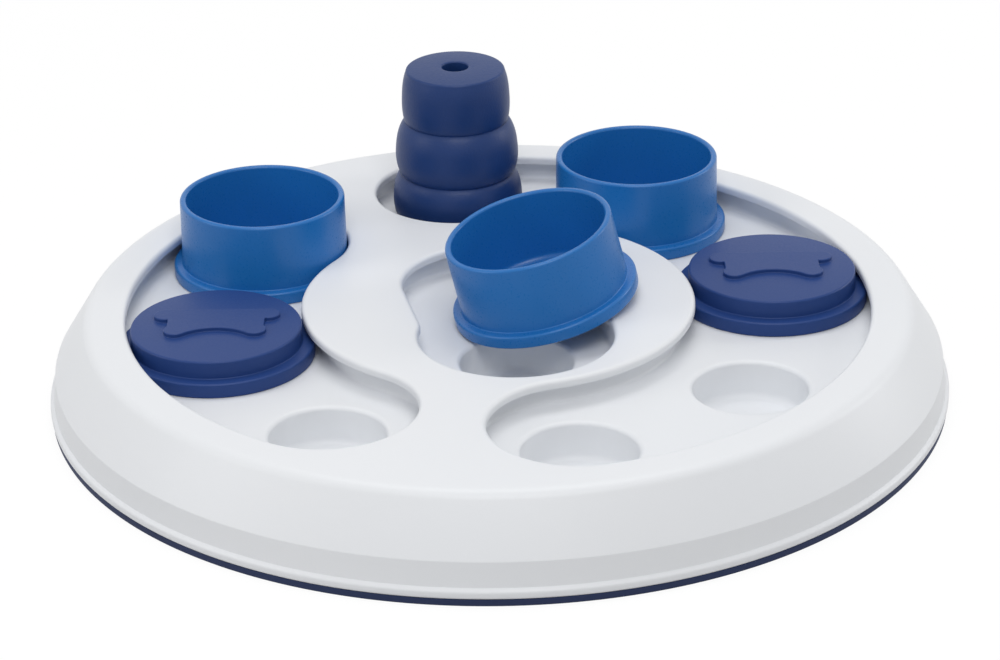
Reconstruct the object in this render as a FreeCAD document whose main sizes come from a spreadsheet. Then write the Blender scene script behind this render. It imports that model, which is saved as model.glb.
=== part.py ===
import FreeCAD, Part
import math
import operator
import os
import Sketcher

# Dog puzzle feeder toy: a round board with two curved tracks and a keyhole in its cover.
# Flanged cups and discs slide along the tracks over round treat wells.
# Millimetres and degrees. The origin is the board's centre on the ground, and the neck
# between the two tracks points to -Y. Angles are measured from +X, seen from above.

SIZES = {
    # cups: a tall body that passes a slot, on a flange that the slot holds down
    "CupRadius": 28.5,
    "CupDraft": 0.25,
    "CupHeight": 27.6,
    "CupWall": 2.15,
    "CupFloor": 2.4,
    "CupFlangeHeight": 4.5,
    "CupGrooveDepth": 0.4,
    "CupGrooveHeight": 0.8,
    "CupFlangeRound": 1.4,
    "CupLipRound": 0.9,
    "CupFloorRound": 2.0,
    "FlangeReach": 2.9,
    # slider discs
    "DiscClearance": 0.9,
    "DiscHeight": 11.0,
    "DiscFlangeHeight": 4.9,
    "DiscGrooveDepth": 0.6,
    "DiscGrooveHeight": 0.9,
    "DiscRound": 1.2,
    "DiscWall": 2.2,
    "DiscTop": 1.6,
    # raised bone on the discs: two rear knobs, two front knobs closer together, a curved waist
    "BoneLength": 41.6,
    "BoneFrontLength": 33.6,
    "BoneWidth": 19.4,
    "BoneKnobRadius": 3.8,
    "BoneNotch": 0.9,
    "BoneWaistDepth": 4.95,
    "BoneHeight": 1.4,
    "BoneTurn": 10.0,
    # tracks: slots in the cover over wider troughs in the floor
    "TrackRadius": 94.5,
    "SlotClearance": 0.5,
    "TroughClearance": 2.1,
    "TrackHeadroom": 2.1,
    "WellPitchAngle": 43.3333,
    "NeckAngle": 270.0,
    # keyhole in the middle
    "KeyAngle": 292.0,
    "KeySlotClearance": 0.4,
    "KeyLobeClearance": 0.6,
    "KeyPocketClearance": 1.0,
    "KeyWeb": 1.0,
    "KeyRearOffset": 15.0,
    "KeyBlend": 12.0,
    # cover: low lip, upright band, sloping skirt and flat plate
    "PlateHeight": 32.0,
    "PlateThickness": 3.0,
    "PlateMargin": 8.6,
    "SkirtRun": 11.2,
    "BandDraft": 0.9,
    "BandHeight": 8.2,
    "LipRise": 0.9,
    "LipReach": 1.3,
    "LipThickness": 2.5,
    "CoverWall": 2.8,
    "CreaseRound": 2.2,
    "LipRound": 0.8,
    "SlotRound": 1.3,
    # floor tray and its wells
    "FloorThickness": 2.2,
    "TrayClearance": 1.5,
    "WellRadius": 18.6,
    "WellDepth": 13.0,
    "WellWall": 2.0,
    "WellChamfer": 1.2,
    # screws and the cover's bosses
    "ScrewRadius": 1.5,
    "ScrewLength": 7.5,
    "ScrewHeadRadius": 2.8,
    "ScrewHeadHeight": 2.0,
    "ScrewClearance": 0.3,
    "PilotClearance": 0.05,
    "PilotSpare": 0.7,
    "BossWall": 2.45,
    "BossClearance": 0.4,
    "IslandBossInset": 26.5,
    # soft foot ring, with a grip that stands up inside the cover's foot
    "FootHeight": 2.5,
    "RingSetback": 0.4,
    "RingClearance": 0.3,
    "RingGripWidth": 2.6,
    "RingInset": 1.4,
    # treat dispenser: foot, three bulges with a groove between, flat top with a hole
    "DispenserHeight": 56.0,
    "DispenserTopRadius": 17.5,
    "DispenserUpperSwell": 1.5,
    "DispenserUpperPinch": 0.6,
    "DispenserMiddleSwell": 3.2,
    "DispenserMiddlePinch": 1.3,
    "DispenserLowerSwell": 2.6,
    "DispenserSeat": 1.4,
    "DispenserUpperDrop": 18.9,
    "DispenserLowerDrop": 38.3,
    "DispenserHoleRadius": 4.65,
    "DispenserWall": 4.0,
    "DispenserRound": 0.8,
    "DispenserGap": 0.3,
    # how the loose pieces stand
    "CupRightAngle": 68.4,
    "LeanAngle": 13.5,
    "LeanGap": 0.3,
    "LeanForward": 0.6,
    "Overlap": 1.0,
}

# Wells are counted from the neck: the left track has three places, the right one has five.
LEFT_PLACES = 3
RIGHT_PLACES = 5
RIM_SCREWS = 6

FULL_TURN = 360.0
# Two measures nearer than this are the same, in millimetres.
SAME = 1e-3

doc = FreeCAD.newDocument("PuzzleFeeder")
sheet = doc.addObject("Spreadsheet::Sheet", "Sizes")
for row, (alias, value) in enumerate(SIZES.items(), start=1):
    sheet.set("A%d" % row, alias)
    sheet.set("B%d" % row, str(value))
    sheet.setAlias("B%d" % row, alias)
doc.recompute()

OPERATIONS = {"+": operator.add, "-": operator.sub, "*": operator.mul, "/": operator.truediv}


class Size:
    """A length or an angle: its number, and the expression that gives it from the sheet."""

    def __init__(self, number, text=None):
        self.number = float(number)
        self.text = text or "%r" % self.number

    def joined(self, sign, other):
        if not isinstance(other, Size):
            other = Size(other)
        return Size(OPERATIONS[sign](self.number, other.number), "(%s %s %s)" % (self.text, sign, other.text))

    def __add__(self, other):
        return self.joined("+", other)

    def __sub__(self, other):
        return self.joined("-", other)

    def __mul__(self, other):
        return self.joined("*", other)

    def __truediv__(self, other):
        return self.joined("/", other)

    def __neg__(self):
        return self.joined("*", -1)


def given(alias):
    """A size as the sheet holds it."""
    return Size(sheet.get(alias), "Sizes." + alias)


def sine(angle):
    return Size(math.sin(math.radians(angle.number)), "sin(%s)" % angle.text)


def cosine(angle):
    return Size(math.cos(math.radians(angle.number)), "cos(%s)" % angle.text)


NOTHING = Size(0)
overlap = given("Overlap")

# Plan, from the cups outwards: what slides, its slot, its trough, and the rim round them
flange = given("CupRadius") + given("FlangeReach")
slot_half = given("CupRadius") + given("SlotClearance")
disc_radius = slot_half - given("DiscClearance")
trough_half = flange + given("TroughClearance")
raised_radius = given("TrackRadius") + trough_half + given("FloorThickness")
plate_radius = given("TrackRadius") + trough_half + given("PlateMargin")
band_top_radius = plate_radius + given("SkirtRun")
band_foot_radius = band_top_radius + given("BandDraft")
board_radius = band_foot_radius + given("LipReach")

# Keyhole: its lobe lets a flange in, and its slot lets only the body pass
key_half = given("CupRadius") + given("KeySlotClearance")
key_lobe = flange + given("KeyLobeClearance")
key_pocket = flange + given("KeyPocketClearance")
key_lobe_offset = given("TrackRadius") - trough_half - key_pocket - given("KeyWeb")

# Levels
lip_height = given("FootHeight") + given("LipThickness")
band_foot_height = lip_height + given("LipRise")
band_top_height = band_foot_height + given("BandHeight")
under_plate = given("PlateHeight") - given("PlateThickness")
floor = under_plate - given("DiscFlangeHeight") - given("TrackHeadroom")
under_floor = floor - given("FloorThickness")
well_floor = floor - given("WellDepth")

# Skirt's run for each millimetre of height, and what follows it inside the cover
slope = given("SkirtRun") / (given("PlateHeight") - band_top_height)
plate_inside = plate_radius - given("CoverWall") + given("PlateThickness") * slope
skirt_inside = plate_radius - given("CoverWall") + (given("PlateHeight") - floor) * slope
tray_radius = skirt_inside - given("TrayClearance")
pilot_radius = given("ScrewRadius") + given("PilotClearance")
boss_radius = pilot_radius + given("BossWall")
rim_boss_radius = raised_radius + given("BossClearance") + boss_radius
island_boss_radius = given("TrackRadius") - given("IslandBossInset")

# Angle over each of the two bridges between the tracks, from end well to end well
bridge_pitch = (Size(FULL_TURN) - given("WellPitchAngle") * (LEFT_PLACES + RIGHT_PLACES - 2)) / 2


def left_place(count):
    return given("NeckAngle") - bridge_pitch / 2 - given("WellPitchAngle") * count


def right_place(count):
    return given("NeckAngle") + bridge_pitch / 2 + given("WellPitchAngle") * count


def bind(item, **links):
    """Ties properties of an object to sizes."""
    for prop, length in links.items():
        item.setExpression(prop.replace("__", "."), length.text)


def stand(item, base, place=None, turn=NOTHING):
    """Stands an object upright at a height, and at a place given as a radius and an angle."""
    item.Placement = FreeCAD.Placement(FreeCAD.Vector(0, 0, 0), FreeCAD.Rotation(FreeCAD.Vector(0, 0, 1), 1))
    radius, angle = place or (NOTHING, NOTHING)
    bind(item, Placement__Base__x=radius * cosine(angle), Placement__Base__y=radius * sine(angle))
    bind(item, Placement__Base__z=base, Placement__Rotation__Angle=turn)


def cylinder(name, radius, base, height, place=None):
    item = doc.addObject("Part::Cylinder", name)
    bind(item, Radius=radius, Height=height)
    stand(item, base, place)
    return item


def cylinders(name, radius, base, height, places):
    """The same cylinder at each place, numbered from 1."""
    return [cylinder("%s%d" % (name, i), radius, base, height, place)
            for i, place in enumerate(places, start=1)]


def fuse(name, items):
    item = doc.addObject("Part::MultiFuse", name)
    item.Shapes = items
    item.Refine = True
    return item


def cut(name, base, tool):
    item = doc.addObject("Part::Cut", name)
    item.Base = base
    item.Tool = tool
    item.Refine = True
    return item


def round_edges(name, base, radius, wanted):
    """Fillets the edges of a solid that the test 'wanted' picks."""
    doc.recompute()
    picked = [i for i, edge in enumerate(base.Shape.Edges, start=1) if wanted(edge)]
    item = doc.addObject("Part::Fillet", name)
    item.Base = base
    item.Edges = [(i, radius.number, radius.number) for i in picked]
    return item


def same(value, target):
    return abs(value - target) < SAME


def track_tool(name, half_width, start, end, base, height):
    """The space of one curved track: a ring sector with a round end at each end well."""
    outer = cylinder(name + "Outer", given("TrackRadius") + half_width, base, height)
    inner = cylinder(name + "Inner", given("TrackRadius") - half_width, base, height)
    bind(outer, Angle=end - start, Placement__Rotation__Angle=start)
    sector = cut(name + "Sector", outer, inner)
    ends = cylinders(name + "End", half_width, base, height,
                     [(given("TrackRadius"), start), (given("TrackRadius"), end)])
    return fuse(name, [sector] + ends)


def both_tracks(name, half_width, base, height):
    left = track_tool(name + "Left", half_width, left_place(LEFT_PLACES - 1), left_place(0), base, height)
    right = track_tool(name + "Right", half_width, right_place(0), right_place(RIGHT_PLACES - 1), base, height)
    return [left, right]


def key_tool(name, half_width, lobe_radius, base, height):
    """The keyhole's space: a straight slot with a round rear end and a round front lobe."""
    angle, rear_offset = given("KeyAngle"), given("KeyRearOffset")
    lobe = cylinder(name + "Lobe", lobe_radius, base, height, (key_lobe_offset, angle))
    rear = cylinder(name + "Rear", half_width, base, height, (-rear_offset, angle))
    middle = doc.addObject("Part::Box", name + "Middle")
    bind(middle, Length=key_lobe_offset + rear_offset, Width=half_width * 2, Height=height)
    stand(middle, base, turn=angle)
    bind(middle, Placement__Base__x=half_width * sine(angle) - rear_offset * cosine(angle))
    bind(middle, Placement__Base__y=-half_width * cosine(angle) - rear_offset * sine(angle))
    return fuse(name, [lobe, rear, middle])


def origin_plane(body, role):
    return next(item for item in body.Origin.OriginFeatures if item.Role == role)


def new_sketch(body, name, role):
    sketch = body.newObject("Sketcher::SketchObject", name)
    sketch.AttachmentSupport = (origin_plane(body, role), "")
    sketch.MapMode = "FlatFace"
    return sketch


def fix_point(sketch, geometry, end, across, up):
    """Holds one end of a sketched line or arc at its two sizes from the sketch's origin."""
    for kind, axis, length in (("DistanceX", -2, across), ("DistanceY", -1, up)):
        if length is NOTHING:
            sketch.addConstraint(Sketcher.Constraint("PointOnObject", geometry, end, axis))
            continue
        index = sketch.addConstraint(Sketcher.Constraint(kind, -1, 1, geometry, end, length.number))
        sketch.setExpression("Constraints[%d]" % index, length.text)


def sketch_loop(sketch, corners):
    """A closed outline of straight lines through corners given as two sizes."""
    points = [FreeCAD.Vector(across.number, up.number, 0) for across, up in corners]
    count = len(corners)
    for i in range(count):
        sketch.addGeometry(Part.LineSegment(points[i], points[(i + 1) % count]))
    for i in range(count):
        sketch.addConstraint(Sketcher.Constraint("Coincident", i, 2, (i + 1) % count, 1))
    for i, (across, up) in enumerate(corners):
        fix_point(sketch, i, 1, across, up)


def revolved_body(name, corners):
    """A body turned about its own Z axis from a half section."""
    body = doc.addObject("PartDesign::Body", name)
    sketch = new_sketch(body, name + "Section", "XZ_Plane")
    sketch_loop(sketch, corners)
    turn = body.newObject("PartDesign::Revolution", name + "Turn")
    turn.Profile = sketch
    turn.ReferenceAxis = (sketch, ["V_Axis"])
    turn.Angle = FULL_TURN
    doc.recompute()
    return body


def fillet_rings(body, name, radius, rings):
    """Fillets the circular edges of a body that lie at these radii and heights."""
    doc.recompute()
    tip = body.Tip
    names = []
    for i, edge in enumerate(tip.Shape.Edges, start=1):
        if not isinstance(edge.Curve, Part.Circle):
            continue
        for ring_radius, height in rings:
            if same(edge.Curve.Radius, ring_radius.number) and same(edge.Curve.Center.z, height.number):
                names.append("Edge%d" % i)
    item = body.newObject("PartDesign::Fillet", name)
    item.Base = (tip, names)
    bind(item, Radius=radius)
    doc.recompute()


# Top cover: shell of revolution, slots, bosses

def make_cover():
    shell = revolved_body("CoverShell", [
        (board_radius, given("FootHeight")),
        (board_radius, lip_height),
        (band_foot_radius, band_foot_height),
        (band_top_radius, band_top_height),
        (plate_radius, given("PlateHeight")),
        (NOTHING, given("PlateHeight")),
        (NOTHING, under_plate),
        (plate_inside, under_plate),
        (band_top_radius - given("CoverWall"), band_top_height),
        (band_foot_radius - given("CoverWall"), band_foot_height),
        (band_foot_radius - given("CoverWall"), given("FootHeight")),
    ])
    fillet_rings(shell, "CreaseFillet", given("CreaseRound"), [(plate_radius, given("PlateHeight"))])
    fillet_rings(shell, "LipFillet", given("LipRound"),
                 [(board_radius, lip_height), (board_radius, given("FootHeight"))])
    base = under_plate - overlap
    height = given("PlateThickness") + overlap * 2
    slots = both_tracks("CoverSlot", slot_half, base, height)
    key = key_tool("CoverKey", key_half, key_lobe, base, height)
    soft_key = round_edges("CoverKeySoft", key, given("KeyBlend"), is_blend_corner)
    opened = cut("CoverOpened", shell, fuse("CoverSlots", slots + [soft_key]))
    rounded = round_edges("CoverRounded", opened, given("SlotRound"), is_slot_edge)
    places = screw_places()
    posts = cylinders("Boss", boss_radius, floor, under_plate - floor + overlap, places)
    pilot_depth = given("ScrewLength") - given("FloorThickness") + given("PilotSpare")
    pilots = cylinders("Pilot", pilot_radius, floor - overlap, pilot_depth + overlap, places)
    return cut("Cover", fuse("CoverWithBosses", [rounded] + posts), fuse("CoverPilots", pilots))


def is_slot_edge(edge):
    """True for an edge of an opening in the plate's upper face."""
    box = edge.BoundBox
    top = given("PlateHeight").number
    reach = plate_radius.number - given("CreaseRound").number - given("SlotClearance").number
    return same(box.ZMin, top) and same(box.ZMax, top) and box.XMax < reach and box.XMin > -reach


def is_blend_corner(edge):
    """True for an upright edge where the keyhole's lobe meets its straight sides."""
    box = edge.BoundBox
    if box.XLength > SAME or box.YLength > SAME:
        return False
    angle = math.radians(given("KeyAngle").number)
    forward = box.XMin * math.cos(angle) + box.YMin * math.sin(angle) - key_lobe_offset.number
    side = abs(box.YMin * math.cos(angle) - box.XMin * math.sin(angle))
    on_lobe = same(math.hypot(forward, side), key_lobe.number)
    return on_lobe and forward < 0 and same(side, key_half.number)


def screw_places():
    """Radius and angle of each boss: six round the rim, one in the neck and one in the bridge."""
    step = FULL_TURN / RIM_SCREWS
    places = [(rim_boss_radius, given("NeckAngle") + step * i) for i in range(RIM_SCREWS)]
    return places + island_places()


def island_places():
    rear = left_place(LEFT_PLACES - 1) - bridge_pitch / 2
    return [(island_boss_radius, given("NeckAngle")), (island_boss_radius, rear)]


# Floor tray: floor with troughs between hollow raised parts, and nine wells

def make_tray():
    wall = given("FloorThickness")
    seat = boss_radius + given("BossClearance")
    raised = cylinder("TrayRaised", raised_radius, under_floor, under_plate - under_floor)
    edge = cylinder("TrayEdge", tray_radius, under_floor, wall)
    deep = under_plate - floor + overlap
    troughs = both_tracks("TrayTrough", trough_half, floor, deep)
    troughs.append(key_tool("TrayPocket", key_pocket, key_pocket, floor, deep))
    troughs += cylinders("BossSeat", seat, floor, deep, island_places())
    opened = cut("TrayOpened", fuse("TrayBody", [raised, edge]), fuse("TrayTroughs", troughs))
    shell = cut("TrayShell", opened, tray_core(wall, seat))
    wells = well_places()
    cups = cylinders("WellShell", given("WellRadius") + given("WellWall"), well_floor - given("WellWall"),
                     floor - well_floor + given("WellWall") - wall / 2, wells)
    bores = cylinders("WellBore", given("WellRadius"), well_floor, given("WellDepth") + overlap, wells)
    holes = cylinders("TrayHole", given("ScrewRadius") + given("ScrewClearance"), under_floor - overlap,
                      wall + overlap * 2, screw_places())
    mouths = [well_mouth(i, place) for i, place in enumerate(wells, start=1)]
    return cut("Tray", fuse("TrayWithWells", [shell] + cups), fuse("TrayBores", bores + holes + mouths))


def tray_core(wall, seat):
    """What is hollow under the raised parts: the tray's middle less its troughs and their walls."""
    height = under_plate - under_floor - wall + overlap
    core = cylinder("CoreDisc", raised_radius - wall, under_floor - overlap, height)
    base = under_floor - overlap * 2
    deep = under_plate - under_floor + overlap * 2
    kept = both_tracks("CoreTrack", trough_half + wall, base, deep)
    kept.append(key_tool("CorePocket", key_pocket + wall, key_pocket + wall, base, deep))
    kept += cylinders("CoreSeat", seat + wall, base, deep, island_places())
    return cut("TrayCore", core, fuse("CoreKept", kept))


def well_mouth(number, place):
    """The cone that breaks the edge of one well's mouth at 45 degrees."""
    cone = doc.addObject("Part::Cone", "WellMouth%d" % number)
    rise = given("WellChamfer") + overlap
    bind(cone, Radius1=given("WellRadius"), Radius2=given("WellRadius") + rise, Height=rise)
    stand(cone, floor - given("WellChamfer"), place)
    return cone


def well_places():
    """Radius and angle of the nine wells: three left, five right, one under the keyhole."""
    places = [(given("TrackRadius"), left_place(i)) for i in range(LEFT_PLACES)]
    places += [(given("TrackRadius"), right_place(i)) for i in range(RIGHT_PLACES)]
    places.append((key_lobe_offset, given("KeyAngle")))
    return places


# Screws: pan head self-tapping screws, driven from below

def make_screws():
    screws = []
    for i, place in enumerate(screw_places(), start=1):
        shank = cylinder("Shank%d" % i, given("ScrewRadius"), under_floor - overlap,
                         given("ScrewLength") + overlap, place)
        head = cylinder("Head%d" % i, given("ScrewHeadRadius"), under_floor - given("ScrewHeadHeight"),
                        given("ScrewHeadHeight"), place)
        screws.append(fuse("Screw%d" % i, [shank, head]))
    return fuse("Screws", screws)


# Anti-slip ring: soft foot with a grip that stands up inside the cover's foot

def make_ring():
    outer = board_radius - given("RingSetback")
    grip = band_foot_radius - given("CoverWall") - given("RingClearance")
    inner = grip - given("RingGripWidth") - given("RingInset")
    foot_top = given("FootHeight")
    return revolved_body("AntislipRing", [
        (inner, NOTHING),
        (outer, NOTHING),
        (outer, foot_top),
        (grip, foot_top),
        (grip, band_foot_height),
        (grip - given("RingGripWidth"), band_foot_height),
        (grip - given("RingGripWidth"), foot_top),
        (inner, foot_top),
    ])


# Cup: flange below, small groove, tall wall with draft, open top

def make_cup(name):
    neck = given("CupRadius") - given("CupGrooveDepth")
    groove_top = given("CupFlangeHeight") + given("CupGrooveHeight")
    lip = given("CupRadius") - given("CupDraft")
    mouth = lip - given("CupWall")
    floor_corner = neck - given("CupWall")
    cup = revolved_body(name, [
        (NOTHING, NOTHING),
        (flange, NOTHING),
        (flange, given("CupFlangeHeight")),
        (neck, given("CupFlangeHeight")),
        (neck, groove_top),
        (given("CupRadius"), groove_top),
        (lip, given("CupHeight")),
        (mouth, given("CupHeight")),
        (floor_corner, given("CupFloor")),
        (NOTHING, given("CupFloor")),
    ])
    fillet_rings(cup, name + "FlangeFillet", given("CupFlangeRound"), [(flange, given("CupFlangeHeight"))])
    fillet_rings(cup, name + "LipFillet", given("CupLipRound"),
                 [(lip, given("CupHeight")), (mouth, given("CupHeight"))])
    fillet_rings(cup, name + "FloorFillet", given("CupFloorRound"), [(floor_corner, given("CupFloor"))])
    return cup


def lean_cup(cup):
    """Leans the middle cup: one side on the keyhole's floor, the other on the plate's edge."""
    lean = given("LeanAngle")
    angle = given("KeyAngle")
    along = given("LeanForward")
    climb = given("PlateHeight") + given("LeanGap") - floor
    across = key_half - climb * cosine(lean) / sine(lean) + flange * cosine(lean)
    axis = FreeCAD.Vector(cosine(angle).number, sine(angle).number, 0)
    cup.Placement = FreeCAD.Placement(FreeCAD.Vector(0, 0, 0), FreeCAD.Rotation(axis, lean.number))
    bind(cup, Placement__Base__x=along * cosine(angle) - across * sine(angle))
    bind(cup, Placement__Base__y=along * sine(angle) + across * cosine(angle))
    bind(cup, Placement__Base__z=floor + given("LeanGap") + flange * sine(lean))
    bind(cup, Placement__Rotation__Angle=lean)


# Slider disc: hollow flanged disc with a raised bone on top

def make_disc(name, angle):
    neck = disc_radius - given("DiscGrooveDepth")
    groove_top = given("DiscFlangeHeight") + given("DiscGrooveHeight")
    ceiling = given("DiscHeight") - given("DiscTop")
    disc = revolved_body(name, [
        (NOTHING, ceiling),
        (neck - given("DiscWall"), ceiling),
        (neck - given("DiscWall"), NOTHING),
        (flange, NOTHING),
        (flange, given("DiscFlangeHeight")),
        (neck, given("DiscFlangeHeight")),
        (neck, groove_top),
        (disc_radius, groove_top),
        (disc_radius, given("DiscHeight")),
        (NOTHING, given("DiscHeight")),
    ])
    fillet_rings(disc, name + "EdgeFillet", given("DiscRound"),
                 [(flange, given("DiscFlangeHeight")), (disc_radius, given("DiscHeight"))])
    add_bone(disc, name)
    stand(disc, floor, (given("TrackRadius"), angle), given("BoneTurn"))
    return disc


def add_bone(body, name):
    """Raises a bone on the disc: a shaft with a curved waist, then a round knob at each corner."""
    knob = given("BoneKnobRadius")
    rear = given("BoneLength") / 2 - knob
    front = given("BoneFrontLength") / 2 - knob
    back = given("BoneWidth") / 2
    side = back - knob
    notch = front + knob - given("BoneNotch")
    # the waist's arc touches both front knobs, which are its neighbours on one line of centres
    rise = knob - given("BoneWaistDepth")
    waist_radius = (front * front + rise * rise - knob * knob) / ((knob - rise) * 2)
    share = knob / (waist_radius + knob)
    touch_x = front - front * share
    touch_y = -side - (waist_radius + rise) * share
    corners = [(-touch_x, touch_y), (-front, -side), (-notch, -side), (-notch, side), (-rear, side),
               (-rear, back), (rear, back), (rear, side), (notch, side), (notch, -side), (front, -side),
               (touch_x, touch_y)]
    shaft = new_sketch(body, name + "BoneShaft", "XY_Plane")
    points = [FreeCAD.Vector(across.number, up.number, 0) for across, up in corners]
    for first, second in zip(points, points[1:]):
        shaft.addGeometry(Part.LineSegment(first, second))
    crown = FreeCAD.Vector(0, given("BoneWaistDepth").number - back.number, 0)
    shaft.addGeometry(Part.Arc(points[-1], crown, points[0]))
    last = len(corners) - 1
    for i in range(last - 1):
        shaft.addConstraint(Sketcher.Constraint("Coincident", i, 2, i + 1, 1))
    for i, (across, up) in enumerate(corners[:-1]):
        fix_point(shaft, i, 1, across, up)
    fix_point(shaft, last - 1, 2, *corners[-1])
    # a sketched arc keeps its ends counter-clockwise, so its start is on the right here
    shaft.addConstraint(Sketcher.Constraint("Coincident", last, 1, last - 1, 2))
    shaft.addConstraint(Sketcher.Constraint("Coincident", last, 2, 0, 1))
    index = shaft.addConstraint(Sketcher.Constraint("Radius", last, waist_radius.number))
    shaft.setExpression("Constraints[%d]" % index, waist_radius.text)
    knobs = new_sketch(body, name + "BoneKnobs", "XY_Plane")
    for i, (across, up) in enumerate(((rear, side), (-rear, side), (-front, -side), (front, -side))):
        centre = FreeCAD.Vector(across.number, up.number, 0)
        knobs.addGeometry(Part.Circle(centre, FreeCAD.Vector(0, 0, 1), knob.number))
        fix_point(knobs, i, 3, across, up)
        index = knobs.addConstraint(Sketcher.Constraint("Radius", i, knob.number))
        knobs.setExpression("Constraints[%d]" % index, knob.text)
    for sketch in (shaft, knobs):
        bind(sketch, AttachmentOffset__Base__z=given("DiscHeight") - given("DiscTop") / 2)
        raised = body.newObject("PartDesign::Pad", sketch.Name + "Pad")
        raised.Profile = sketch
        bind(raised, Length=given("BoneHeight") + given("DiscTop") / 2)
    doc.recompute()


# Treat dispenser: three soft bulges, hollow, open below, with a round hole on top

def make_dispenser():
    height = given("DispenserHeight")
    upper = height - given("DispenserUpperDrop")
    lower = height - given("DispenserLowerDrop")
    wall = given("DispenserWall")
    round_off = given("DispenserRound")
    top = given("DispenserTopRadius")
    upper_bulge = top + given("DispenserUpperSwell")
    upper_groove = upper_bulge - given("DispenserUpperPinch")
    middle_bulge = upper_groove + given("DispenserMiddleSwell")
    lower_groove = middle_bulge - given("DispenserMiddlePinch")
    lower_bulge = lower_groove + given("DispenserLowerSwell")
    foot = given("WellRadius") + given("WellChamfer") + given("DispenserSeat")
    bore = lower_groove - wall
    narrow = upper_groove - wall
    hole = given("DispenserHoleRadius")
    edge_level = height - round_off
    edges = [
        arc_edge((foot, NOTHING), (lower_bulge, lower / 2), (lower_groove, lower)),
        arc_edge((lower_groove, lower), (middle_bulge, (lower + upper) / 2), (upper_groove, upper)),
        arc_edge((upper_groove, upper), (upper_bulge, (upper + edge_level) / 2), (top, edge_level)),
    ]
    corners = [(top, edge_level), (top - round_off, height), (hole, height), (hole, height - wall),
               (narrow, height - wall), (narrow, upper), (bore, lower), (bore, NOTHING), (foot, NOTHING)]
    points = [section_point(corner) for corner in corners]
    edges += [Part.makeLine(first, second) for first, second in zip(points, points[1:])]
    section = Part.Face(Part.Wire(edges))
    body = doc.addObject("Part::Feature", "Dispenser")
    body.Shape = section.revolve(FreeCAD.Vector(0, 0, 0), FreeCAD.Vector(0, 0, 1), FULL_TURN)
    stand(body, floor + given("DispenserGap"), (given("TrackRadius"), right_place(RIGHT_PLACES - 1)))
    return body


def section_point(corner):
    across, up = corner
    return FreeCAD.Vector(across.number, 0, up.number)


def arc_edge(start, middle, end):
    """An arc of the half section through three points."""
    return Part.Arc(section_point(start), section_point(middle), section_point(end)).toShape()


def build():
    parts = {
        "top_cover": make_cover(),
        "floor_tray": make_tray(),
        "antislip_ring": make_ring(),
        "cover_screws": make_screws(),
        "slider_left": make_disc("SliderLeft", left_place(1)),
        "slider_right": make_disc("SliderRight", right_place(2)),
        "treat_dispenser": make_dispenser(),
        "cup_left": make_cup("CupLeft"),
        "cup_right": make_cup("CupRight"),
        "cup_centre": make_cup("CupCentre"),
    }
    stand(parts["cup_left"], floor, (given("TrackRadius"), left_place(LEFT_PLACES - 1)))
    stand(parts["cup_right"], floor, (given("TrackRadius"), given("CupRightAngle")))
    lean_cup(parts["cup_centre"])
    doc.recompute()
    return parts


def check(parts):
    """Stops if an object of the document failed or a piece has no sound shape."""
    for item in doc.Objects:
        if "Invalid" in item.State or "Error" in item.State:
            raise RuntimeError("%s failed: %s" % (item.Name, item.State))
    for node, item in parts.items():
        if item.Shape.isNull() or not item.Shape.isValid():
            raise RuntimeError("%s has no valid shape" % node)


def main():
    parts = build()
    check(parts)
    os.makedirs("parts", exist_ok=True)
    for node, item in parts.items():
        item.Label = node
        item.Shape.exportStep("parts/%s.step" % node)
        box = item.Shape.BoundBox
        print("%-16s solids %d volume %9.0f x %.1f..%.1f y %.1f..%.1f z %.2f..%.2f" % (
            node, len(item.Shape.Solids), item.Shape.Volume, box.XMin, box.XMax, box.YMin, box.YMax,
            box.ZMin, box.ZMax))


main()
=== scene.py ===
import math
import bmesh
import bpy
from mathutils import Matrix, Vector
from mathutils.geometry import delaunay_2d_cdt


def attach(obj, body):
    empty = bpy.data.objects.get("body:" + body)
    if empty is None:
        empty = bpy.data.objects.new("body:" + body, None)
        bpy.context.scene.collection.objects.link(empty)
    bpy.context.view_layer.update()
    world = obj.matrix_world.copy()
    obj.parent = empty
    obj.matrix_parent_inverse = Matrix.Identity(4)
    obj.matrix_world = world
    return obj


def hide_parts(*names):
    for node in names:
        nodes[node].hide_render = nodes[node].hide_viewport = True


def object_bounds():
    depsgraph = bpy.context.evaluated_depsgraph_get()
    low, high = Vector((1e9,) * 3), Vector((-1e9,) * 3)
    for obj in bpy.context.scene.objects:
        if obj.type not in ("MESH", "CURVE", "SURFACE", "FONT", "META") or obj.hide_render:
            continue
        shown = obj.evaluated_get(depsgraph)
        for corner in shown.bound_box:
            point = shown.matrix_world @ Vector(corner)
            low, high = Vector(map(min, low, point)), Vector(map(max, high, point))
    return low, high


# Looks of the dog puzzle feeder toy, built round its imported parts. The neck points to -Y.
# Lengths are millimetres, turned into metres by MM, and angles are degrees.
# Only the stage's floor, the lamps and the camera's distances are in metres.

MM = 0.001

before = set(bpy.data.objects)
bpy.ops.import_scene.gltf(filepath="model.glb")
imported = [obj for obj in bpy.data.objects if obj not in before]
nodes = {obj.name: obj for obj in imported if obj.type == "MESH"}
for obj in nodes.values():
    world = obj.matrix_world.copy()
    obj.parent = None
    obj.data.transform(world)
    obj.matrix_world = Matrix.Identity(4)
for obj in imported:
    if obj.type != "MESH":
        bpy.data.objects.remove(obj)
cad_low, cad_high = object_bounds()

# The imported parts' overall reach
BOARD_RADIUS = round(cad_high[0] / MM, 2)
TOP_HEIGHT = round(cad_high[2] / MM, 2)

# Board's profile, with (radius, height) at both ends of the upright band
FOOT_HEIGHT = 2.5
LIP_HEIGHT = 5.0
BAND_FOOT = (148.7, 5.9)
BAND_TOP = (147.8, 14.1)
PLATE_RADIUS = 136.6
PLATE_HEIGHT = 32.0
PLATE_THICKNESS = 3.0
COVER_WALL = 2.8
UNDER_PLATE = PLATE_HEIGHT - PLATE_THICKNESS

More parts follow.
